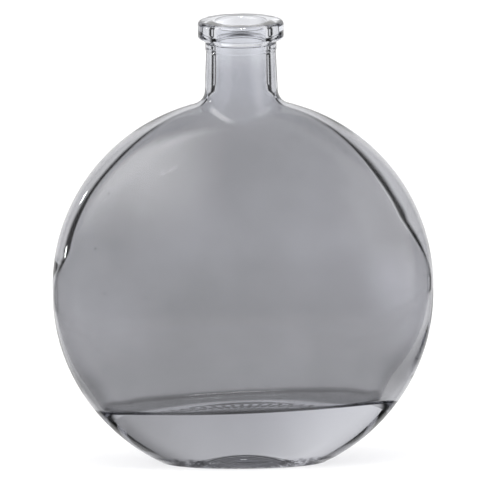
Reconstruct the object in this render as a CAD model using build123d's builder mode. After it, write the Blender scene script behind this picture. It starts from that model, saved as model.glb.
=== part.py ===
from build123d import *
import os
from math import atan2, degrees, sqrt

# A flat, round bottle vase of mould-blown glass. All lengths are in millimetres.
# The origin is the middle of the base plane, +Z is up and the broad front face looks along -Y.
# The glass is modelled in the zones that its mould parts leave: the neck ring forms the lip,
# two mould halves form the walls, and the bottom plate forms the base.

# Body: a round disc with bulging faces, drawn out a little upwards and cut off flat below
body_width = 213.0
body_depth = 88.0
body_edge_radius = 26.0
body_stretch = 4.0
base_cut = 10.4

# Glass thickness of the body
face_wall = 5.0
side_wall = 3.25
edge_wall = 4.0
floor_height = 33.5
floor_cove_radius = 6.0
floor_cove_dip = 1.5

# Neck and bore
neck_root_rise = 8.0
neck_height = 19.3
neck_root_radius = 20.3
neck_top_radius = 19.5
bore_radius = 14.0
shoulder_radius = 8.0
throat_foot_radius = 16.0
throat_radius = 9.0

# Lip, from the mould's parting line upwards: bead, groove, chamfer and straight side
bead_height = 4.1
bead_radius = 19.9
groove_height = 1.2
groove_radius = 18.9
chamfer_height = 2.0
chamfer_width = 3.3
lip_side_height = 9.4
lip_radius = 24.0
lip_rounding = 2.2
lip_lower_rounding = 1.0
mouth_rounding = 2.0

# Base: oval foot with a rounded heel, hollow push-up and a ring of small knurls to stand on
foot_length = 88.0
foot_seat_height = 6.6292
foot_height = 9.0
heel_radius = 3.0
pushup_length = 56.0
pushup_width = 24.0
pushup_depth = 7.0
knurl_count = 40
knurl_inset = 5.5
knurl_length = 4.0
knurl_width = 1.4
knurl_depth = 0.5

# Places worked out from the sizes above
body_radius = body_width / 2
body_half_depth = body_depth / 2
lower_axis_height = body_radius - base_cut
upper_axis_height = lower_axis_height + body_stretch
cavity_axis_height = (lower_axis_height + upper_axis_height) / 2
cavity_radius = body_radius - side_wall
cavity_half_depth = body_half_depth - face_wall
cavity_edge_radius = body_edge_radius - edge_wall

neck_root_height = upper_axis_height + body_radius + neck_root_rise
parting_height = neck_root_height + neck_height
neck_taper = (neck_root_radius - neck_top_radius) / neck_height
neck_foot_height = upper_axis_height + body_radius - body_edge_radius
neck_foot_radius = neck_root_radius + (neck_root_height - neck_foot_height) * neck_taper
throat_foot_height = cavity_axis_height + cavity_radius - cavity_edge_radius

bead_top = parting_height + bead_height
groove_top = bead_top + groove_height
chamfer_top = groove_top + chamfer_height
lip_top = chamfer_top + lip_side_height

base_half_length = sqrt(body_radius**2 - lower_axis_height**2)
# The foot's front and back stand upright and run into the body's faces at the seat height
body_hub = body_radius - body_edge_radius
face_radius = (body_hub**2 + body_half_depth**2 - body_edge_radius**2) / (body_depth - 2 * body_edge_radius)
foot_half_width = sqrt(face_radius**2 - (lower_axis_height - foot_seat_height) ** 2)
foot_half_width -= face_radius - body_half_depth
pushup_axis_depth = ((pushup_length / 2) ** 2 - pushup_depth**2) / (2 * pushup_depth)
knurl_ring_x = base_half_length - knurl_inset
knurl_ring_y = foot_half_width - knurl_inset

os.makedirs("parts", exist_ok=True)


def lens_section(height, radius, half_depth, edge_radius, whole=False):
    """Front half of a disc's level section, right side or whole width: a shallow arc for the face
    that runs smoothly into the rounder arc of the edge."""
    hub = radius - edge_radius
    face_radius = (hub**2 + half_depth**2 - edge_radius**2) / (2 * (half_depth - edge_radius))
    face_offset = face_radius - half_depth
    turn = degrees(atan2(hub, face_offset))
    with BuildSketch(Plane.XY.offset(height)) as section:
        with BuildLine():
            CenterArc((0, face_offset), face_radius, -90, turn)
            CenterArc((hub, 0), edge_radius, turn - 90, 90 - turn)
            Polyline((radius, 0), (0, 0), (0, -half_depth))
        make_face()
        if whole:
            mirror(about=Plane.YZ)
    return section.sketch


def collar_section(foot_radius, foot_height, top_radius):
    """Half section of a tapered plug from a foot inside the body up to the root of the neck."""
    with BuildSketch(Plane.XZ) as section:
        with BuildLine():
            Polyline(
                (0, foot_height),
                (foot_radius, foot_height),
                (top_radius, neck_root_height),
                (0, neck_root_height),
                close=True,
            )
        make_face()
    return section.sketch


upper_section = lens_section(upper_axis_height, body_radius, body_half_depth, body_edge_radius)
lower_section = lens_section(lower_axis_height, body_radius, body_half_depth, body_edge_radius)
waist_section = lens_section(
    lower_axis_height, body_radius, body_half_depth, body_edge_radius, whole=True
)
cavity_section = lens_section(
    cavity_axis_height, cavity_radius, cavity_half_depth, cavity_edge_radius
)
neck_foot_section = collar_section(neck_foot_radius, neck_foot_height, neck_root_radius)
throat_section = collar_section(throat_foot_radius, throat_foot_height, bore_radius)

# Front half of the body's outside, with the root of the neck
with BuildPart() as outer_half:
    revolve(upper_section, Axis((0, 0, upper_axis_height), (0, -1, 0)), 180)
    revolve(lower_section, Axis((0, 0, lower_axis_height), (0, 1, 0)), 180)
    extrude(waist_section, amount=body_stretch)
    revolve(neck_foot_section, -Axis.Z, 180)
    fillet(outer_half.edges(Select.NEW), shoulder_radius)
    split(bisect_by=Plane.XY)

# Front half of the hollow, with its coved floor and the throat below the bore
with BuildPart() as hollow_half:
    revolve(cavity_section, Axis((0, 0, cavity_axis_height), (0, 1, 0)))
    split(bisect_by=Plane.XY.offset(floor_height - floor_cove_dip))
    floor_edges = hollow_half.edges().group_by(Axis.Z)[0]
    fillet(floor_edges.filter_by(GeomType.LINE, reverse=True), floor_cove_radius)
    revolve(throat_section, -Axis.Z, 180)
    fillet(hollow_half.edges(Select.NEW), throat_radius)

# The front half of the wall, from the floor up to the root of the neck, as far as the mould seam
with BuildPart() as front_shell:
    add(outer_half.part)
    add(hollow_half.part, mode=Mode.SUBTRACT)
    split(bisect_by=Plane.XY.offset(floor_height))
front_shell.part.label = "front_shell"
export_step(front_shell.part, "parts/front_shell.step")

# The back half of the wall
with BuildPart() as back_shell:
    mirror(front_shell.part, about=Plane.XZ)
back_shell.part.label = "back_shell"
export_step(back_shell.part, "parts/back_shell.step")

# The thick solid base, whose oval foot stands upright under the curve of the body
with BuildPart() as base:
    add(outer_half.part)
    split(bisect_by=Plane.XY.offset(floor_height), keep=Keep.BOTTOM)
    with BuildSketch():
        Ellipse(foot_length / 2, foot_half_width)
        split(bisect_by=Plane.XZ)
    extrude(amount=foot_height)
    foot_edges = base.edges().group_by(Axis.Z)[0]
    fillet(foot_edges.filter_by(GeomType.LINE, reverse=True), heel_radius)
    mirror(about=Plane.XZ)
    # The push-up is the top of a flat wheel with a rounded rim, whose axle lies far below
    with BuildSketch(Plane.YZ):
        with BuildLine():
            ThreePointArc((-pushup_width / 2, 0), (0, pushup_depth), (pushup_width / 2, 0))
            Polyline(
                (pushup_width / 2, 0),
                (pushup_width / 2, -pushup_axis_depth),
                (-pushup_width / 2, -pushup_axis_depth),
                (-pushup_width / 2, 0),
            )
        make_face()
    revolve(axis=Axis((0, 0, -pushup_axis_depth), (0, 1, 0)), mode=Mode.SUBTRACT)
    # The knurls lie across the bearing ring, at even steps along it
    knurl_ring = Edge.make_ellipse(knurl_ring_x, knurl_ring_y)
    with BuildSketch():
        for knurl in range(knurl_count):
            middle = knurl_ring @ (knurl / knurl_count)
            along = knurl_ring % (knurl / knurl_count)
            with Locations(Location(middle, (0, 0, degrees(atan2(along.Y, along.X))))):
                Rectangle(knurl_width, knurl_length)
    extrude(amount=knurl_depth, mode=Mode.SUBTRACT)
base.part.label = "base"
export_step(base.part, "parts/base.step")

# The neck above the body
with BuildPart() as neck:
    with BuildSketch(Plane.XZ):
        with BuildLine():
            Polyline(
                (bore_radius, neck_root_height),
                (neck_root_radius, neck_root_height),
                (neck_top_radius, parting_height),
                (bore_radius, parting_height),
                close=True,
            )
        make_face()
    revolve(axis=Axis.Z)
neck.part.label = "neck"
export_step(neck.part, "parts/neck.step")

# The lip: a thick ring over a groove and a bead, rounded inside and out at the mouth
with BuildPart() as lip_ring:
    with BuildSketch(Plane.XZ) as lip_section:
        with BuildLine():
            bead_corner = (bead_radius, bead_top)
            chamfer_corner = (lip_radius - chamfer_width, groove_top)
            Polyline((bore_radius, parting_height), (bead_radius, parting_height), bead_corner)
            ThreePointArc(bead_corner, (groove_radius, bead_top + groove_height / 2), chamfer_corner)
            Polyline(
                chamfer_corner,
                (lip_radius, chamfer_top),
                (lip_radius, lip_top),
                (bore_radius, lip_top),
                (bore_radius, parting_height),
            )
        make_face()
        fillet(lip_section.vertices().group_by(Axis.Y)[-1].sort_by(Axis.X)[0], mouth_rounding)
        fillet(lip_section.vertices().group_by(Axis.Y)[-1].sort_by(Axis.X)[-1], lip_rounding)
        fillet(lip_section.vertices().group_by(Axis.X)[-1].sort_by(Axis.Y)[0], lip_lower_rounding)
    revolve(axis=Axis.Z)
lip_ring.part.label = "lip_ring"
export_step(lip_ring.part, "parts/lip_ring.step")
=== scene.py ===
import bpy
import numpy as np
from mathutils import Matrix, Vector


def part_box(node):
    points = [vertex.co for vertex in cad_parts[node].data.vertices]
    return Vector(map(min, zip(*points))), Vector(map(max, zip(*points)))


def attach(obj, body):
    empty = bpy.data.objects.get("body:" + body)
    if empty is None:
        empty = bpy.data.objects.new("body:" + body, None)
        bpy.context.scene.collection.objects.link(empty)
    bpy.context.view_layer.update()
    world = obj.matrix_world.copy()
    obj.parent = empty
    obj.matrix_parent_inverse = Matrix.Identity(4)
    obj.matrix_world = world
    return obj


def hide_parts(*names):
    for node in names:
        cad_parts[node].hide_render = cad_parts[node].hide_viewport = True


# A flat, round bottle vase of smoked glass. The glass is one piece with an outside, a lip and a hollow,
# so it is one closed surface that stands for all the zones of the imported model. Lengths are in metres.

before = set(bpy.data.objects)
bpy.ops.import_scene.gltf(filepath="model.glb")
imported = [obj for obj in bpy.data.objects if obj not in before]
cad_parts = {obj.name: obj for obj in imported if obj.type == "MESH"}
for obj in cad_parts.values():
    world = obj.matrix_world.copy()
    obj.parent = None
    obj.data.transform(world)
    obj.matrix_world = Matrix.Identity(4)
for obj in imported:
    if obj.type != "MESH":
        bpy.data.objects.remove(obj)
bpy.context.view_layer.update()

MM = 0.001

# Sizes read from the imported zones
shell_low, shell_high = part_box("front_shell")
BODY_RADIUS = shell_high.x
BODY_HALF_DEPTH = -shell_low.y
FLOOR_HEIGHT = shell_low.z
NECK_ROOT = shell_high.z
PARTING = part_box("neck")[1].z
LIP_RADIUS, _, LIP_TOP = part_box("lip_ring")[1]

# Body and hollow
BODY_EDGE = 26.0 * MM
BODY_STRETCH = 4.0 * MM
BASE_CUT = 10.4 * MM
SIDE_WALL = 3.25 * MM
FACE_WALL = 5.0 * MM
EDGE_WALL = 4.0 * MM
COVE = 3.5 * MM
COVE_ASPECT = 0.40
FLOOR_TILT = 0.031
FLOOR_TILT_REACH = 45 * MM
LOWER_AXIS = BODY_RADIUS - BASE_CUT
UPPER_AXIS = LOWER_AXIS + BODY_STRETCH
MID_AXIS = (LOWER_AXIS + UPPER_AXIS) / 2
BODY = (BODY_RADIUS, BODY_HALF_DEPTH, BODY_EDGE, LOWER_AXIS, UPPER_AXIS)
HOLLOW = (BODY_RADIUS - SIDE_WALL, BODY_HALF_DEPTH - FACE_WALL, BODY_EDGE - EDGE_WALL, MID_AXIS, MID_AXIS)

# Neck, shoulder and throat
NECK_ROOT_RADIUS = 20.3 * MM
NECK_TOP_RADIUS = 19.5 * MM
SHOULDER = 8.0 * MM
BORE = 14.0 * MM
THROAT_FOOT_RADIUS = 16.0 * MM
THROAT_FOOT = MID_AXIS + HOLLOW[0] - HOLLOW[2]
THROAT = 15.0 * MM

# Lip, from the parting line upwards: bead, groove, chamfer and straight side
BEAD_RADIUS = 19.9 * MM
BEAD_HEIGHT = 4.1 * MM
GROOVE_RADIUS = 18.8 * MM
GROOVE_HEIGHT = 1.2 * MM
CHAMFER_WIDTH = 3.3 * MM
CHAMFER_HEIGHT = 2.0 * MM
LIP_ROUNDINGS = np.array([0.15, 0.25, 0.35, 0.35, 0.3, 0.35, 1.4, 2.2, 2.0]) * MM

# Base
HEEL = 3.2 * MM
FOOT_HALF_LENGTH = 46.6 * MM
FOOT_ASPECT = 0.545
FOOT_TOP = 16.0 * MM
FOOT_BLEND = 1.0 * MM
PUSHUP_HALF_LENGTH = 26.0 * MM
PUSHUP_HALF_WIDTH = 12.0 * MM
PUSHUP_DEPTH = 7.0 * MM
PUSHUP_BLEND = 0.25 * MM
KNURLS = 40
KNURL_DEPTH = 0.6 * MM

# Fineness: seven columns to each knurl, rows up the walls, and what holds a long straight stretch flat
AROUND = 7 * KNURLS
STEPS = np.linspace(0, 2 * np.pi, AROUND, endpoint=False)
BODY_ROWS = 94
HOLLOW_ROWS = 96
LONG_STRETCH = 1.2 * MM
STRETCH_HOLD = 0.25 * MM

# How far the eye looks down on the vase, which the studio is set up about
VIEW_DROP = np.radians(10.6)


# Shapes

def face_arc(radius, half_depth, edge):
    """The hub of a disc, about whose end the edge's arc runs, and the radius of the face's arc that shares
    a tangent with it: the squares of the hub and the half depth less that of the edge, over twice what the
    half depth is more than the edge."""
    hub = radius - edge
    return hub, (hub**2 + half_depth**2 - edge**2) / (2 * (half_depth - edge))


def disc(point, radius, half_depth, edge, lower_axis, upper_axis):
    """Signed distance to a round disc with bulging faces, and its outward normal. With the reach
    measured from the disc's axis, each face is an arc about a point behind the middle of the disc,
    and the edge is a smaller arc about the end of its hub. The two arcs share a tangent. Between the
    lower and the upper axis the disc is drawn out straight."""
    x, y, z = np.moveaxis(point, -1, 0)
    rise = z - np.clip(z, lower_axis, upper_axis)
    reach = np.hypot(x, rise)
    hub, face = face_arc(radius, half_depth, edge)
    back = face - half_depth
    on_face = reach * back < (np.abs(y) + back) * hub
    along = reach - np.where(on_face, 0, hub)
    across = np.abs(y) + np.where(on_face, back, 0)
    length = np.hypot(along, across)
    share = along / length / np.maximum(reach, 1e-9)
    normal = np.stack([share * x, np.sign(y) * across / length, share * rise], -1)
    return length - np.where(on_face, face, edge), normal


def slice_aspect(height, radius, half_depth, edge, lower_axis, upper_axis):
    """Depth over width of a level slice of the disc, at most 1."""
    rise = np.abs(height - np.clip(height, lower_axis, upper_axis))
    hub, face = face_arc(radius, half_depth, edge)
    back = face - half_depth
    least = (0.2 * radius) ** 2
    width = np.sqrt(np.maximum(radius**2 - rise**2, least))
    on_face = rise < hub * face / np.hypot(hub, back)
    flat = np.sqrt(np.maximum(face**2 - rise**2, 0)) - back
    bend = np.sqrt(np.maximum(edge**2 - (rise - hub) ** 2, least))
    return np.minimum(np.where(on_face, flat, bend) / width, 1)


def even_turn(aspect):
    """Directions round the axis, one column for each step, that space points nearly evenly round an
    oval of this aspect: the oval's angle is the step plus a share of the sine of twice the step."""
    aspect = np.asarray(aspect)[..., None]
    angle = STEPS + 0.5 * (1 - aspect) / (1 + aspect) * np.sin(2 * STEPS)
    return np.stack([np.cos(angle), aspect * np.sin(angle)], -1)


def halve(holds, low, high):
    """Halving search, point by point, for the value between low and high at which holds turns false."""
    for _ in range(42):
        middle = (low + high) / 2
        keep = holds(middle)
        low = np.where(keep, middle, low)
        high = np.where(keep, high, middle)
    return low


def at_height(turn, length, height):
    """Points at a length along each direction and at a height."""
    flat = turn * np.asarray(length)[..., None]
    return np.concatenate([flat, np.broadcast_to(height, flat.shape[:-1])[..., None]], -1)


def outward(points):
    """Level directions of length 1 from the axis towards points."""
    return points * [1, 1, 0] / np.linalg.norm(points[:, :2], axis=-1, keepdims=True)


def on_disc(shape, turn, height, offset=0.0):
    """Points of a disc, or of its offset, on rays from the axis along the directions at the heights."""
    low = np.zeros(np.broadcast_shapes(turn.shape[:-1], np.shape(height)))
    turn = np.broadcast_to(turn, low.shape + (2,))
    length = halve(lambda s: disc(at_height(turn, s, height), *shape)[0] < offset, low, low + 0.4)
    return at_height(turn, length, height)


def ball_beside(shape, radius, tube):
    """Centres of a ball that rolls round an upright tube and touches the disc from outside: a radius
    away from the tube, at the height where the disc is a radius away."""
    turn = even_turn(1.0)
    low = np.full(AROUND, UPPER_AXIS)
    reach = np.linalg.norm(turn, axis=-1)

    def place(height):
        return at_height(turn / reach[..., None], tube(height) + radius, height)

    return place(halve(lambda height: disc(place(height), *shape)[0] < radius, low, low + 0.2))


def ball_arc(centre, radius, start, end, shares):
    """Rows of the fillet that a ball leaves between two contact directions: the first direction turned
    evenly into the second, for each share of the way, times the radius from the ball's centre."""
    shares = np.asarray(shares).reshape(-1, *([1] * (np.ndim(centre))))
    angle = np.arccos(np.clip((start * end).sum(-1, keepdims=True), -1, 1))
    angle = np.maximum(angle, 1e-6)
    way = (np.sin((1 - shares) * angle) * start + np.sin(shares * angle) * end) / np.sin(angle)
    return centre + radius * way


def wall_rows(shape, first, last, count):
    """Rows of a disc's wall between two closed curves on it. Heights step evenly in the angle about the
    disc's axis. Directions are those that suit each row's oval, drawn to those of the curves near them."""
    share = np.linspace(0, 1, count + 2)[1:-1, None]
    scale = 1.06 * shape[0]
    angle_first = np.arcsin((first[:, 2] - MID_AXIS) / scale)
    angle_last = np.arcsin((last[:, 2] - MID_AXIS) / scale)
    height = MID_AXIS + scale * np.sin(angle_first + share * (angle_last - angle_first))
    step = np.exp(-1j * STEPS)
    oval = even_turn(slice_aspect(height.mean(1), *shape))
    lead = np.angle((oval[..., 0] + 1j * oval[..., 1]) * step)
    lead_first = np.angle((first[:, 0] + 1j * first[:, 1]) * step)
    lead_last = np.angle((last[:, 0] + 1j * last[:, 1]) * step)
    near_first = (1 - share) ** 8
    near_last = share**8
    lead = lead * (1 - near_first - near_last) + lead_first * near_first + lead_last * near_last
    way = np.exp(1j * lead) / step
    return on_disc(shape, np.stack([way.real, way.imag], -1), height)


def rounded_profile(corners, radii, shares):
    """A polyline of (radius, height) corners with each inner corner replaced by an arc that touches
    both of its sides, and its two ends kept. Long straight stretches get a point close to each end,
    which keeps them flat."""
    corners = np.array(corners)
    radii = radii[:, None]
    before = corners[:-2] - corners[1:-1]
    after = corners[2:] - corners[1:-1]
    before /= np.linalg.norm(before, axis=-1, keepdims=True)
    after /= np.linalg.norm(after, axis=-1, keepdims=True)
    half = np.arccos((before * after).sum(-1, keepdims=True)) / 2
    middle = before + after
    middle /= np.linalg.norm(middle, axis=-1, keepdims=True)
    centre = corners[1:-1] + middle * radii / np.sin(half)
    start = corners[1:-1] + before * radii / np.tan(half) - centre
    end = corners[1:-1] + after * radii / np.tan(half) - centre
    arcs = ball_arc(centre, radii, start / radii, end / radii, shares)
    profile = np.concatenate([corners[:1], np.swapaxes(arcs, 0, 1).reshape(-1, 2), corners[-1:]])
    step = np.diff(profile, axis=0)
    length = np.linalg.norm(step, axis=-1, keepdims=True)
    long = np.nonzero(length[:, 0] > LONG_STRETCH)[0]
    close = STRETCH_HOLD * step[long] / length[long]
    held = np.stack([profile[long] + close, profile[long + 1] - close], 1).reshape(-1, 2)
    return np.insert(profile, np.repeat(long + 1, 2), held, axis=0)


def turned(profile):
    """Rows of a surface of revolution about the upright axis, one for each (radius, height) pair."""
    ring = even_turn(1.0)
    return at_height(ring[None], np.repeat(profile[:, :1], AROUND, 1), profile[:, 1:])


def smooth(low, high, value):
    """0 below low, 1 above high, with a smooth cubic step between."""
    t = np.clip((value - low) / (high - low), 0, 1)
    return t * t * (3 - 2 * t)


def neck_side(height):
    """Outer radius of the neck, which tapers evenly upwards."""
    share = (height - NECK_ROOT) / (PARTING - NECK_ROOT)
    return NECK_ROOT_RADIUS + share * (NECK_TOP_RADIUS - NECK_ROOT_RADIUS)


def throat_side(height):
    """Radius of the throat, which narrows evenly from its foot up to the bore."""
    share = np.clip((height - THROAT_FOOT) / (NECK_ROOT - THROAT_FOOT), 0, 1)
    return THROAT_FOOT_RADIUS + share * (BORE - THROAT_FOOT_RADIUS)


def foot_rows():
    """Rows of the foot from the bearing face up to the body. Each row is the longer of the body's level
    slice and the foot's upright oval, blended softly, drawn in near the ground by the rounded heel. The
    heel is a quarter circle on the long sides and steeper at the ends."""
    turn = even_turn(FOOT_ASPECT)
    heel = HEEL * (1 - np.cos(np.linspace(0, np.pi / 2, 9)))
    height = np.concatenate([heel, np.linspace(HEEL, FOOT_TOP, 10)[1:]])[:, None]
    reach = np.linalg.norm(turn, axis=-1)
    body = np.linalg.norm(on_disc(BODY, turn, height)[..., :2], axis=-1) / reach
    joined = (body + FOOT_HALF_LENGTH + np.hypot(body - FOOT_HALF_LENGTH, FOOT_BLEND)) / 2
    low = np.clip(1 - height / HEEL, 0, 1)
    steep = 0.30 + 0.70 * np.abs(turn[:, 1] / FOOT_ASPECT) ** 1.5
    inset = HEEL * (1 - np.sqrt(1 - low**2)) * steep / reach
    return at_height(turn, joined - inset, height)


def foot_masks(foot):
    """Masks on rows of the foot: ticks low on the back of the heel, in step with the knurls, where painted
    shade darkens them, the heel itself, and a band along the front of the foot on both sides of its middle,
    low down, for painted shade near the ground."""
    x, y, z = np.moveaxis(foot, -1, 0)
    low_back = (1 - smooth(0.4 * HEEL, 0.8 * HEEL, z)) * smooth(0, 10 * MM, y)
    ticks = smooth(-0.2, 0.5, np.cos(KNURLS * STEPS)) * low_back
    heel = 1 - smooth(HEEL, 1.4 * HEEL, z)
    side_front = smooth(14 * MM, 26 * MM, np.abs(x)) * smooth(0, 8 * MM, -y)
    painted_shade_band = side_front * (1 - smooth(1.4 * HEEL, 1.7 * HEEL, z))
    return {"knurl": ticks, "heel": heel, "painted_shade_band": painted_shade_band}


def underside_rows(rim):
    """The underside from its middle out to the rim, and how far each point is pressed in by a knurl. The
    push-up is the top of a flat wheel with a rounded tread, whose axle lies far below, blended softly into
    the bearing face. Short radial grooves are pressed round the bearing face near its rim, a raised cosine
    along it and a smooth window across it."""
    middle_share = np.linspace(0, 1, 13)[1:, None, None]
    oval = even_turn(FOOT_ASPECT) * np.array([1, 1 / FOOT_ASPECT])
    edge = oval * np.array([PUSHUP_HALF_LENGTH, PUSHUP_HALF_WIDTH])
    inner_share = [0.08, 0.18, 0.30, 0.38, 0.43, 0.48, 0.58]
    outer_share = [0.68, 0.78, 0.83, 0.88, 0.94, 1.0]
    ring_share = np.array(inner_share + outer_share)[:, None]
    ring = edge + ring_share[..., None] * (rim[:, :2] - edge)
    flat = np.concatenate([middle_share * edge, ring])
    tread = (PUSHUP_HALF_WIDTH**2 + PUSHUP_DEPTH**2) / (2 * PUSHUP_DEPTH)
    axle = (PUSHUP_HALF_LENGTH**2 - PUSHUP_DEPTH**2) / (2 * PUSHUP_DEPTH)
    crown = np.sqrt(np.maximum(tread**2 - flat[..., 1] ** 2, 0)) - tread + PUSHUP_DEPTH
    wheel = np.sqrt((axle + crown) ** 2 - flat[..., 0] ** 2) - axle
    height = (wheel + np.hypot(wheel, PUSHUP_BLEND)) / 2
    window = smooth(0.36, 0.46, ring_share) * (1 - smooth(0.80, 0.90, ring_share))
    pressed = np.zeros(height.shape)
    pressed[len(middle_share):] = smooth(-0.3, 0.6, np.cos(KNURLS * STEPS)) * window
    height[len(middle_share):] *= 1 - smooth(0.6, 0.9, ring_share)
    return np.concatenate([flat, (height + pressed * KNURL_DEPTH)[..., None]], -1), pressed


def lip_rows():
    """Rows of the lip from the top of the neck over the bead, the groove, the chamfer, the straight side
    and the mouth, and on down the bore: a rounded profile turned about the axis."""
    bead_top = PARTING + BEAD_HEIGHT
    groove_top = bead_top + GROOVE_HEIGHT
    chamfer_top = groove_top + CHAMFER_HEIGHT
    corners = [
        (NECK_TOP_RADIUS, PARTING - 0.4 * MM),
        (NECK_TOP_RADIUS - 0.1 * MM, PARTING),
        (BEAD_RADIUS, PARTING + 0.4 * MM),
        (BEAD_RADIUS, bead_top),
        (GROOVE_RADIUS, bead_top + 0.3 * MM),
        (GROOVE_RADIUS, groove_top - 0.2 * MM),
        (LIP_RADIUS - CHAMFER_WIDTH, groove_top),
        (LIP_RADIUS, chamfer_top),
        (LIP_RADIUS, LIP_TOP),
        (BORE, LIP_TOP),
        (BORE, NECK_ROOT + 1.0 * MM),
    ]
    return turned(rounded_profile(corners, LIP_ROUNDINGS, np.linspace(0, 1, 6)))


def settled(points):
    """Moves the hollow's side walls in or out, as the glass settled when it was blown. Seen from the
    front, the wall stays thick above the middle, thins in one short step a little above it, and thickens
    slowly again towards the floor, not quite alike on the left and on the right. Angles are in degrees
    above the level of the disc's axis, and wall thicknesses in millimetres."""
    x, y, z = np.moveaxis(points, -1, 0)
    rise = z - MID_AXIS
    reach = np.hypot(x, rise)
    angle = np.degrees(np.arctan2(rise, np.abs(x)))
    low = np.clip(angle, -48, 0)
    left = 1.8 + 4.8 * (low / 36) ** 2 + 4.6 * smooth(2, 14, angle) - 3.6 * smooth(44, 76, angle)
    right = 2.4 - 0.15 * low + 6.4 * smooth(4, 26, angle) - 6.0 * smooth(32, 76, angle)
    wall = np.where(x < 0, left, right) * MM
    even = SIDE_WALL + (BODY_STRETCH / 2) * np.abs(np.sin(np.radians(angle)))
    share = smooth(0.070, 0.095, reach) * smooth(-44, -30, angle) * (1 - smooth(0.108, 0.120, reach))
    inward = (wall - even) * share / np.maximum(reach, 1e-6)
    return points - np.stack([inward * x, 0 * y, inward * rise], -1)


def hollow_rows():
    """Rows of the hollow from the throat below the bore down its wall, round the cove and over the floor
    to near its middle. The floor slopes evenly from left to right, and the slope dies out up the wall."""
    up = np.array([0.0, 0.0, 1.0])
    ball = ball_beside(HOLLOW, THROAT, throat_side)
    throat = ball_arc(ball, THROAT, -outward(ball), -disc(ball, *HOLLOW)[1], np.linspace(0, 1, 11))
    cove_ball = on_disc(HOLLOW, even_turn(COVE_ASPECT), FLOOR_HEIGHT + COVE, -COVE)
    cove = ball_arc(cove_ball, COVE, disc(cove_ball, *HOLLOW)[1], -up, np.linspace(0, 1, 12))
    wall = wall_rows(HOLLOW, throat[-1], cove[0], HOLLOW_ROWS)
    floor = cove[-1] * np.linspace(1, 0, 12)[1:-1, None, None] * [1, 1, 0] + up * FLOOR_HEIGHT
    rows = np.concatenate([settled(np.concatenate([throat, wall, cove])), floor])
    sunk = 1 - smooth(FLOOR_HEIGHT, FLOOR_HEIGHT + FLOOR_TILT_REACH, rows[..., 2])
    rows[..., 2] += FLOOR_TILT * rows[..., 0] * sunk
    return rows


def glass_rows():
    """All rows of the glass, from the middle of the underside, up the outside, over the lip and down the
    hollow to the middle of its floor, with masks of the pressed knurls and of the foot."""
    foot = foot_rows()
    root = ball_beside(BODY, SHOULDER, neck_side)
    shoulder = ball_arc(root, SHOULDER, -disc(root, *BODY)[1], -outward(root), np.linspace(0, 1, 11))
    wall = wall_rows(BODY, foot[-1], shoulder[0], BODY_ROWS)
    neck_share = np.array([0.04, 0.3, 0.65, 0.96])[:, None]
    neck_height = root[:, 2] + neck_share * (PARTING - root[:, 2])
    neck = at_height(even_turn(1.0), neck_side(neck_height), neck_height)
    underside, pressed = underside_rows(foot[0])
    rows = np.concatenate([underside, foot[1:], wall, shoulder, neck, lip_rows(), hollow_rows()])
    masks = {}
    for name, mask in foot_masks(foot[1:]).items():
        masks[name] = np.zeros(rows.shape[:2])
        masks[name][len(pressed):len(pressed) + len(mask)] = mask
    # The knurl mask also marks where painted shade darkens the grooves.
    masks["knurl"][:len(pressed)] = pressed
    return rows, masks


# Mesh

def closed_mesh(name, rows, first_pole, last_pole):
    """A closed mesh from rows of points that run round the axis: a quad between each pair of neighbours
    in neighbouring rows, and a fan of triangles from each pole to the row next to it."""
    count = len(rows)
    points = np.concatenate([rows.reshape(-1, 3), [first_pole, last_pole]])
    grid = np.arange(count * AROUND).reshape(count, AROUND)
    beside = np.roll(grid, -1, axis=1)
    quads = np.stack([grid[:-1], beside[:-1], beside[1:], grid[1:]], -1).reshape(-1, 4)
    pole = np.full(AROUND, count * AROUND)
    first_fan = np.stack([pole, beside[0], grid[0]], -1)
    last_fan = np.stack([pole + 1, grid[-1], beside[-1]], -1)
    corners = np.concatenate([quads.ravel(), first_fan.ravel(), last_fan.ravel()])
    sizes = np.concatenate([np.full(len(quads), 4), np.full(2 * AROUND, 3)])
    starts = np.concatenate([[0], np.cumsum(sizes)[:-1]])
    mesh = bpy.data.meshes.new(name)
    mesh.vertices.add(len(points))
    mesh.vertices.foreach_set("co", points.astype(np.float32).ravel())
    mesh.loops.add(len(corners))
    mesh.loops.foreach_set("vertex_index", corners.astype(np.int32))
    mesh.polygons.add(len(sizes))
    mesh.polygons.foreach_set("loop_start", starts.astype(np.int32))
    mesh.polygons.foreach_set("use_smooth", np.ones(len(sizes), bool))
    mesh.update(calc_edges=True)
    mesh.validate()
    return mesh


rows, masks = glass_rows()
glass_mesh = closed_mesh("vase_glass", rows, (0, 0, PUSHUP_DEPTH), (0, 0, FLOOR_HEIGHT))
for name, mask in masks.items():
    layer = glass_mesh.attributes.new(name, "FLOAT", "POINT")
    layer.data.foreach_set("value", np.append(mask.ravel(), [0, 0]).astype(np.float32))
glass = bpy.data.objects.new("vase_glass", glass_mesh)
bpy.context.scene.collection.objects.link(glass)
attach(glass, "root")
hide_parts("lip_ring", "neck", "front_shell", "back_shell", "base")


# Materials

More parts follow.
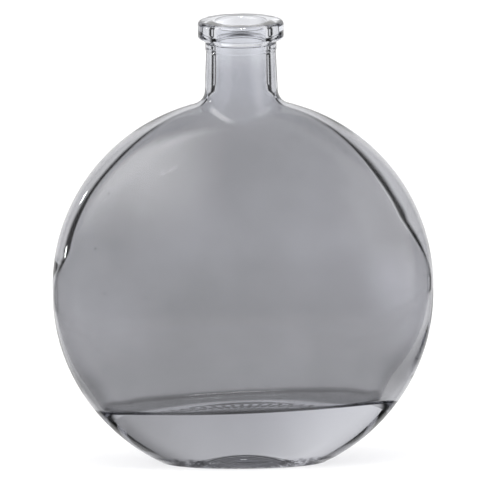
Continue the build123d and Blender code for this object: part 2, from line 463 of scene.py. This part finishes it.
class Wiring:
    """Adds nodes to a node tree and links them. A value is a plain one or another node's output."""

    def __init__(self, tree):
        self.tree = tree
        self.link = tree.links.new
        tree.nodes.clear()

    def node(self, kind, **values):
        """A new node, with inputs set by name and its own settings set by attribute."""
        made = self.tree.nodes.new(kind)
        for key, value in values.items():
            if key in made.inputs:
                made.inputs[key].default_value = value
            else:
                setattr(made, key, value)
        return made

    def feed(self, socket, value):
        """Links an output to an input, or sets the input to a plain value."""
        if isinstance(value, bpy.types.NodeSocket):
            self.link(value, socket)
        else:
            socket.default_value = value

    def math(self, operation, *values):
        """The result of a sum on one or two values."""
        made = self.node("ShaderNodeMath", operation=operation)
        for socket, value in zip(made.inputs, values):
            self.feed(socket, value)
        return made.outputs[0]

    def vector(self, operation, first, second, result):
        """The named result of a vector sum on an output and a plain vector."""
        made = self.node("ShaderNodeVectorMath", operation=operation)
        self.link(first, made.inputs[0])
        made.inputs[1].default_value = second
        return made.outputs[result]

    def ramp(self, source, low, high, at_low=0.0, at_high=1.0):
        """A smooth cubic step of a source, from one value at low to another at high."""
        made = self.node("ShaderNodeMapRange", interpolation_type="SMOOTHSTEP")
        for key, value in zip(("From Min", "From Max", "To Min", "To Max"), (low, high, at_low, at_high)):
            made.inputs[key].default_value = value
        self.link(source, made.inputs["Value"])
        return made.outputs["Result"]

    def mix(self, kind, factor, first, second, blend="MIX"):
        """A mix of two numbers or two colours."""
        made = self.node("ShaderNodeMix", data_type=kind, blend_type=blend)
        for key, value in zip(("Factor", "A", "B"), (factor, first, second)):
            self.feed(made.inputs[key], value)
        return made.outputs["Result"]

    def mix_shader(self, factor, first, second):
        """A mix of two shaders."""
        made = self.node("ShaderNodeMixShader")
        self.link(factor, made.inputs["Fac"])
        self.link(first.outputs[0], made.inputs[1])
        self.link(second.outputs[0], made.inputs[2])
        return made


def new_material(name):
    """An empty node material and the wiring of its nodes."""
    material = bpy.data.materials.new(name)
    material.use_nodes = True
    return material, Wiring(material.node_tree)


def smoked_glass():
    """Glass tinted grey where light passes through its skin and along its thickness, paler towards the
    lip, with faint clouds, soft pale spots of painted light and a few dark specks in the tint, and painted
    shade in dark mottled patches along the front of the foot near the ground. The knurls are darkened by
    painted shade. The skin is hardly wavy on the body and stippled at the heel."""
    material, wire = new_material("smoked_glass")
    link = wire.link
    out = wire.node("ShaderNodeOutputMaterial")
    body = wire.node("ShaderNodeBsdfPrincipled", IOR=1.52, Roughness=0.0)
    body.inputs["Transmission Weight"].default_value = 1.0
    place = wire.node("ShaderNodeTexCoord").outputs["Object"]
    split = wire.node("ShaderNodeSeparateXYZ")
    link(place, split.inputs[0])
    height = split.outputs["Z"]

    def noise(scale, detail):
        made = wire.node("ShaderNodeTexNoise", Scale=scale, Detail=detail)
        link(place, made.inputs["Vector"])
        return made.outputs["Fac"]

    def mask(name):
        return wire.node("ShaderNodeAttribute", attribute_name=name).outputs["Fac"]

    def spotted(tint, middle, reach, gain):
        """The tint multiplied by a gain round a point, with a soft edge."""
        away = wire.vector("DISTANCE", place, middle, "Value")
        near = wire.ramp(away, 0.0, reach, 1.0, 0.0)
        return wire.mix("RGBA", near, tint, (gain, gain, gain * 1.01, 1), "MULTIPLY")

    body_tint = (0.578, 0.580, 0.598, 1)
    neck_tint = (0.682, 0.690, 0.718, 1)
    lip_tint = (0.89, 0.90, 0.93, 1)
    tint = wire.mix("RGBA", wire.ramp(height, 0.185, 0.215), body_tint, neck_tint)
    tint = wire.mix("RGBA", wire.ramp(height, 0.218, 0.243), tint, lip_tint)
    cloud = wire.ramp(noise(16.0, 3.0), 0.35, 0.65)
    clouds = wire.mix("RGBA", cloud, (0.96, 0.96, 0.96, 1), (1.03, 1.03, 1.035, 1))
    tint = wire.mix("RGBA", 1.0, tint, clouds, "MULTIPLY")
    # Painted light: pale spots in the tint on both sides and the upper front, where the glass looks brighter.
    painted_light_spots = (
        ((0.081, -0.027, 0.108), 0.026, 1.22),
        ((0.095, -0.014, 0.090), 0.054, 1.17),
        ((0.060, -0.035, 0.110), 0.060, 1.09),
        ((-0.073, -0.022, 0.094), 0.040, 1.18),
        ((0.010, -0.040, 0.140), 0.080, 1.10),
    )
    for middle, reach, gain in painted_light_spots:
        tint = spotted(tint, middle, reach, gain)
    specks = (
        (-0.08223, -0.02585, 0.12678),
        (-0.07748, -0.02954, 0.10191),
        (-0.05468, -0.03693, 0.10024),
        (-0.07468, -0.02220, 0.15719),
    )
    speck_reach = 1.1 * MM
    speck_gain = 0.2
    for speck in specks:
        tint = spotted(tint, speck, speck_reach, speck_gain)
    # Painted shade: dark mottled patches in the tint low on the front of the foot, near the ground.
    patch = wire.ramp(noise(260.0, 3.0), 0.38, 0.62)
    mottled_shade = wire.mix("RGBA", patch, (0.12, 0.12, 0.13, 1), (0.65, 0.65, 0.67, 1))
    tint = wire.mix("RGBA", mask("painted_shade_band"), tint, mottled_shade, "MULTIPLY")
    link(tint, body.inputs["Base Color"])

    stipple = wire.math("MULTIPLY", noise(700.0, 2.0), mask("heel"))
    wavy = wire.node("ShaderNodeBump", Strength=1.0, Distance=0.2 * MM)
    link(noise(34.0, 1.0), wavy.inputs["Height"])
    rough = wire.node("ShaderNodeBump", Strength=1.0, Distance=0.6 * MM)
    link(stipple, rough.inputs["Height"])
    link(wavy.outputs["Normal"], rough.inputs["Normal"])
    link(rough.outputs["Normal"], body.inputs["Normal"])

    # Painted shade: a near-black matt shader darkens the knurls' grooves and the ticks on the back of the
    # heel.
    knurl_shade = wire.node("ShaderNodeBsdfDiffuse", Color=(0.03, 0.03, 0.034, 1))
    knurl_shaded = wire.mix_shader(wire.ramp(mask("knurl"), 0.2, 0.8, 0.0, 0.92), body, knurl_shade)
    clear = wire.node("ShaderNodeBsdfTransparent", Color=(0.70, 0.70, 0.72, 1))
    path = wire.node("ShaderNodeLightPath")
    surface = wire.mix_shader(path.outputs["Is Shadow Ray"], knurl_shaded, clear)
    link(surface.outputs[0], out.inputs["Surface"])
    smoke = wire.node("ShaderNodeVolumeAbsorption", Color=(0.40, 0.415, 0.50, 1), Density=8.0)
    link(smoke.outputs[0], out.inputs["Volume"])
    return material


def pale_floor():
    """A pale matt floor, lifted to white for the eye with its shadow kept. What the glass shows of it is an
    even glow of painted light and shade: a painted shadow under the push-up, a painted arch of light under
    and behind the back of the foot, painted shade round the foot, rising to white and giving way to the
    studio further off."""
    material, wire = new_material("pale_floor")
    out = wire.node("ShaderNodeOutputMaterial")
    matt = wire.node("ShaderNodeBsdfDiffuse", Color=(0.93, 0.93, 0.93, 1))
    white = wire.node("ShaderNodeEmission", Color=(1, 1, 1, 1), Strength=1.0)
    painted_floor_glow = wire.node("ShaderNodeEmission", Color=(1, 1, 1, 1))
    clear = wire.node("ShaderNodeBsdfTransparent")
    path = wire.node("ShaderNodeLightPath")
    place = wire.node("ShaderNodeTexCoord").outputs["Object"]
    split = wire.node("ShaderNodeSeparateXYZ")
    wire.link(place, split.inputs[0])

    def span(x_unit, y_unit):
        """Distance from the vase's axis, with its own unit for each direction."""
        scaled = wire.vector("MULTIPLY", place, (1 / x_unit, 1 / y_unit, 0), "Vector")
        return wire.vector("LENGTH", scaled, (0, 0, 0), "Value")

    away = span(1.0, 1.0)
    oval = span(FOOT_HALF_LENGTH, FOOT_ASPECT * FOOT_HALF_LENGTH)
    # Painted light: a glowing arch on the floor under and behind the back of the foot.
    painted_light_arch = wire.math("MULTIPLY", wire.ramp(oval, 0.55, 0.68), wire.ramp(oval, 1.20, 1.36, 1.0, 0.0))
    painted_light_arch = wire.math("MULTIPLY", painted_light_arch, wire.ramp(split.outputs["Y"], 0.002, 0.010))
    # Painted shadow: dark under the push-up and round the foot, rising to white further off.
    painted_shadow_level = wire.math("ADD", wire.ramp(away, 0.012, 0.045, 0.08, 0.38), wire.ramp(away, 0.05, 0.25, 0.0, 0.62))
    wire.link(wire.math("ADD", painted_shadow_level, painted_light_arch), painted_floor_glow.inputs["Strength"])
    for_eye = wire.mix_shader(wire.math("MULTIPLY", path.outputs["Is Camera Ray"], 0.6), matt, white)
    through = wire.mix_shader(wire.ramp(away, 0.30, 0.42), painted_floor_glow, clear)
    surface = wire.mix_shader(path.outputs["Is Transmission Ray"], for_eye, through)
    wire.link(surface.outputs[0], out.inputs["Surface"])
    return material


glass.data.materials.append(smoked_glass())


# Stage, light and camera

scene = bpy.context.scene
scene.view_settings.view_transform = "Standard"
scene.cycles.max_bounces = 32
scene.cycles.transmission_bounces = 32
scene.cycles.glossy_bounces = 16
scene.cycles.transparent_max_bounces = 32
scene.cycles.caustics_refractive = True

half = 12.0
floor_corners = [(-half, -half, 0), (half, -half, 0), (half, half, 0), (-half, half, 0)]
floor_mesh = bpy.data.meshes.new("floor")
floor_mesh.from_pydata(floor_corners, [], [(0, 1, 2, 3)])
floor_mesh.materials.append(pale_floor())
floor = bpy.data.objects.new("floor", floor_mesh)
floor.location.z = -0.2 * MM
floor.visible_glossy = False
scene.collection.objects.link(floor)


def studio_world():
    """A white studio, as a strength for each way out of the scene. Rays that were turned back inside the
    glass find dark flags in a ring about the way straight through, with an open slot at the slope of the
    view, a dark room behind the eye and a dim ceiling, which draw the edges of the glass. Rays straight
    through the solid base find a backdrop that is uneven from left to right. What the glass mirrors is a
    dim room with a panel at the upper left, a soft light at the right and small lamps. Matt surfaces get
    one even level."""
    world = bpy.data.worlds.new("studio")
    world.use_nodes = True
    wire = Wiring(world.node_tree)
    math = wire.math
    out = wire.node("ShaderNodeOutputWorld")
    path = wire.node("ShaderNodeLightPath")
    way = wire.node("ShaderNodeTexCoord").outputs["Generated"]
    split = wire.node("ShaderNodeSeparateXYZ")
    wire.link(way, split.inputs[0])

    def facing(out_way):
        """The cosine of the angle between a ray and a way out into the studio."""
        return wire.vector("DOT_PRODUCT", way, out_way, "Value")

    def turn_ramp(source, low, high, at_low=0.0, at_high=1.0):
        """A smooth cubic step of an angle, between two angles in degrees."""
        return wire.ramp(source, np.radians(low), np.radians(high), at_low, at_high)

    def soft_light(aside_deg, rise_deg, width_deg, strength):
        """A round light with a soft edge, by the angle between a ray and the way to the light."""
        aside_turn = np.radians(aside_deg)
        rise_turn = np.radians(rise_deg)
        level_reach = np.cos(rise_turn)
        light_way = (np.sin(aside_turn) * level_reach, np.cos(aside_turn) * level_reach, np.sin(rise_turn))
        return wire.ramp(facing(light_way), np.cos(np.radians(width_deg)), 1.0, 0.0, strength)

    aside = math("ARCTAN2", split.outputs["X"], split.outputs["Y"])
    rise = math("ARCSINE", split.outputs["Z"])
    off = math("ARCCOSINE", facing((0, np.cos(VIEW_DROP), -np.sin(VIEW_DROP))))

    # Dark flags, wider open above, and the open slot between them
    near = math("SUBTRACT", off, math("MULTIPLY", turn_ramp(rise, -2, 18), np.radians(11)))
    near = math("ADD", near, turn_ramp(rise, -9, -3, np.radians(6), 0.0))
    dark = math("MULTIPLY", turn_ramp(near, 29, 42), turn_ramp(off, 56, 64, 1.0, 0.0))
    from_level = math("ABSOLUTE", math("ADD", rise, VIEW_DROP))
    slot = math("MULTIPLY", turn_ramp(off, 43, 47), turn_ramp(off, 52, 56, 0.8, 0.0))
    slot = math("MULTIPLY", slot, turn_ramp(from_level, 3, 6, 1.0, 0.0))
    dark = math("MULTIPLY", dark, math("SUBTRACT", 1.0, slot))

    # Dark room behind the eye, and dim ceiling
    dark = math("MAXIMUM", dark, turn_ramp(off, 126, 140, 0.0, 0.95))
    dark = math("MAXIMUM", dark, turn_ramp(rise, 40, 50, 0.0, 0.52))

    # What shows through the glass
    turned_back = math("SUBTRACT", path.outputs["Ray Depth"], path.outputs["Transmission Depth"])
    flags = math("MULTIPLY", dark, math("GREATER_THAN", turned_back, 1.5))
    walls = math("SUBTRACT", 1.0, math("MULTIPLY", flags, 0.99))
    solid = math("LESS_THAN", path.outputs["Ray Depth"], 3.5)
    swing = math("SINE", aside)
    uneven = math("ADD", wire.ramp(swing, -0.28, 0.0, 0.45, 0.0), wire.ramp(swing, 0.10, 0.53, 0.95, 0.6))
    through = wire.mix("FLOAT", solid, walls, uneven)

    # What the glass mirrors: the panel, the lamps, the backdrop and the room behind the eye
    mirrored = math("MULTIPLY", turn_ramp(aside, -178, -146), turn_ramp(aside, -112, -82, 1.0, 0.0))
    mirrored = math("MULTIPLY", mirrored, turn_ramp(rise, 2, 30, 0.0, 4.5))
    mirrored = math("MULTIPLY", mirrored, turn_ramp(rise, 42, 64, 1.0, 0.0))
    lamps = (
        (122, 14, 32, 1.2),
        (178, 82, 9, 40.0),
        (-62, 18.6, 2.6, 60.0),
        (-75, 2.2, 2.4, 60.0),
        (-154.1, 26.5, 1.1, 1.5),
        (-156.6, 27.4, 0.9, 1.4),
        (-158.0, 28.2, 0.9, 1.7),
    )
    for lamp in lamps:
        mirrored = math("ADD", mirrored, soft_light(*lamp))
    turn = math("ABSOLUTE", aside)
    mirrored = math("ADD", mirrored, turn_ramp(turn, 32, 48, 0.8, 0.0))
    mirrored = math("ADD", mirrored, turn_ramp(turn, 92, 130, 0.08, 0.4))

    strength = wire.mix("FLOAT", path.outputs["Is Transmission Ray"], mirrored, through)
    strength = wire.mix("FLOAT", path.outputs["Is Diffuse Ray"], strength, 0.75)
    strength = wire.mix("FLOAT", path.outputs["Is Camera Ray"], strength, 1.0)
    sky = wire.node("ShaderNodeBackground", Color=(1, 1, 1, 1))
    wire.link(strength, sky.inputs["Strength"])
    wire.link(sky.outputs[0], out.inputs["Surface"])
    return world


scene.world = studio_world()


def softbox(name, place, aim, width, height, power):
    """A large soft lamp at a place, turned to its aim."""
    lamp = bpy.data.lights.new(name, "AREA")
    lamp.shape = "RECTANGLE"
    lamp.size = width
    lamp.size_y = height
    lamp.energy = power
    made = bpy.data.objects.new(name, lamp)
    made.location = place
    made.rotation_euler = (Vector(aim) - Vector(place)).to_track_quat("-Z", "Y").to_euler()
    made.visible_glossy = False
    made.visible_transmission = False
    scene.collection.objects.link(made)


softbox("top_box", (0.1, -0.2, 1.8), (0, 0, 0.1), 1.6, 1.2, 14)
softbox("left_box", (-1.3, -0.9, 0.9), (0, 0, 0.12), 0.5, 1.1, 8)
softbox("right_box", (1.4, -0.4, 0.9), (0, 0, 0.12), 0.4, 1.0, 5)

# The camera stands far off, a hair to one side and a hair turned, with so many pixels to the metre
azimuth = np.radians(-0.5)
roll = np.radians(0.5)
distance = 10.0
pixels_per_metre = 1790.0
picture_width = 480
level_reach = np.cos(VIEW_DROP)
ahead = Vector((-np.sin(azimuth) * level_reach, np.cos(azimuth) * level_reach, -np.sin(VIEW_DROP)))
side = Vector((np.cos(azimuth), np.sin(azimuth), 0))
above = side.cross(ahead)
aim = Vector((0, 0, 0.125)) + side * (-2.6 / pixels_per_metre) + above * (1.6 / pixels_per_metre)
turned_side = side * np.cos(roll) - above * np.sin(roll)
turned_above = side * np.sin(roll) + above * np.cos(roll)
lens = bpy.data.cameras.new("camera")
lens.sensor_width = 36.0
lens.lens = pixels_per_metre * distance * lens.sensor_width / picture_width
lens.clip_end = 100
camera = bpy.data.objects.new("camera", lens)
camera.matrix_world = Matrix((turned_side, turned_above, -ahead)).transposed().to_4x4()
camera.location = aim - ahead * distance
scene.collection.objects.link(camera)
scene.camera = camera
